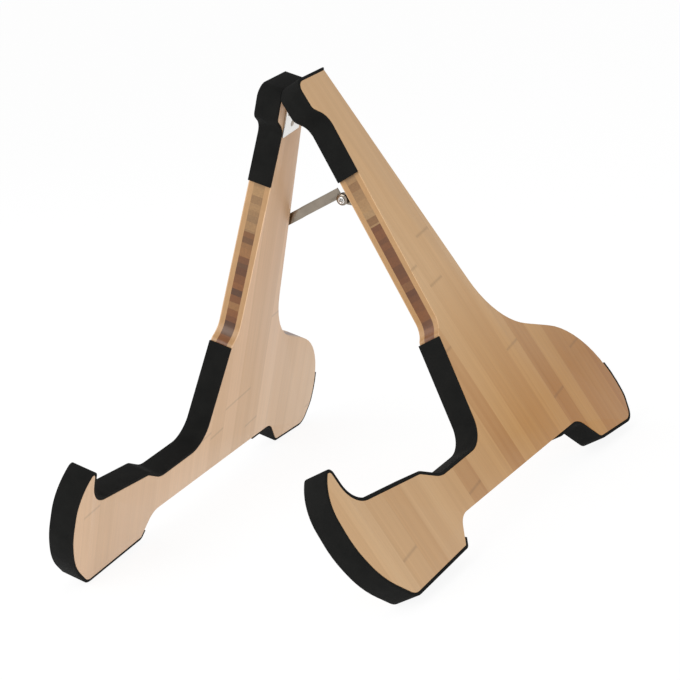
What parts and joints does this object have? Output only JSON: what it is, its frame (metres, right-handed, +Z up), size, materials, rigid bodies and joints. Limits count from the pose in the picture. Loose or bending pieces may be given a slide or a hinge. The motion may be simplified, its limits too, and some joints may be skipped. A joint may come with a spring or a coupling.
{
  "type": "folding guitar stand",
  "caption": "Folding wooden A-frame stand whose two hooked boards cradle a guitar on padded edges.",
  "frame": {"origin": "on the floor, under the middle of the open stand", "axes": "+Z up, +Y from the hooks to the rear feet, +X to the right as seen from the hooks"},
  "size_m": [0.2772, 0.3372, 0.2773],
  "materials": {
    "board": "laminated bamboo, satin clear lacquer",
    "pad": "matt black cellular rubber",
    "bright_plate": "bright nickel plate",
    "steel": "polished steel"
  },
  "bodies": {
    "left_side": {"left_panel": "board", "left_upper_pad": "pad", "left_cradle_pad": "pad", "left_rear_foot_pad": "pad", "hinge_leaf_left": "bright_plate", "hinge_pin": "steel", "hinge_screw_left_1": "steel", "hinge_screw_left_2": "steel", "hinge_screw_left_3": "steel", "stay_screw_left": "steel", "stay_spacer_left": "steel"},
    "right_side": {"right_panel": "board", "right_upper_pad": "pad", "right_cradle_pad": "pad", "right_rear_foot_pad": "pad", "hinge_leaf_right": "bright_plate", "hinge_screw_right_1": "steel", "hinge_screw_right_2": "steel", "hinge_screw_right_3": "steel", "stay_screw_right": "steel", "stay_spacer_right": "steel"},
    "left_link": {"stay_link_left": "steel", "stay_rivet_head": "bright_plate", "stay_rivet_washer_front": "steel"},
    "right_link": {"stay_link_right": "steel", "stay_rivet_tail": "bright_plate", "stay_rivet_washer_rear": "steel"}
  },
  "joints": [
    {"name": "fold_hinge", "type": "hinge", "parent": "left_side", "child": "right_side", "pos_m": [0, 0.02019, 0.26041], "axis": [0, 0.9903, 0.139], "range_deg": [0, 47.4]},
    {"name": "left_link_pivot", "type": "hinge", "parent": "left_side", "child": "left_link", "pos_m": [-0.05049, 0.05638, 0.17521], "axis": [0, 0.9903, 0.139], "range_deg": [-39.4, 0]},
    {"name": "right_link_pivot", "type": "hinge", "parent": "right_side", "child": "right_link", "pos_m": [0.05049, 0.05638, 0.17521], "axis": [0, 0.9903, 0.139], "range_deg": [0, 39.4]}
  ],
  "couplings": [
    {"joint": "left_link_pivot", "follows": "fold_hinge", "ratio": -0.83},
    {"joint": "right_link_pivot", "follows": "fold_hinge", "ratio": 0.83}
  ]
}
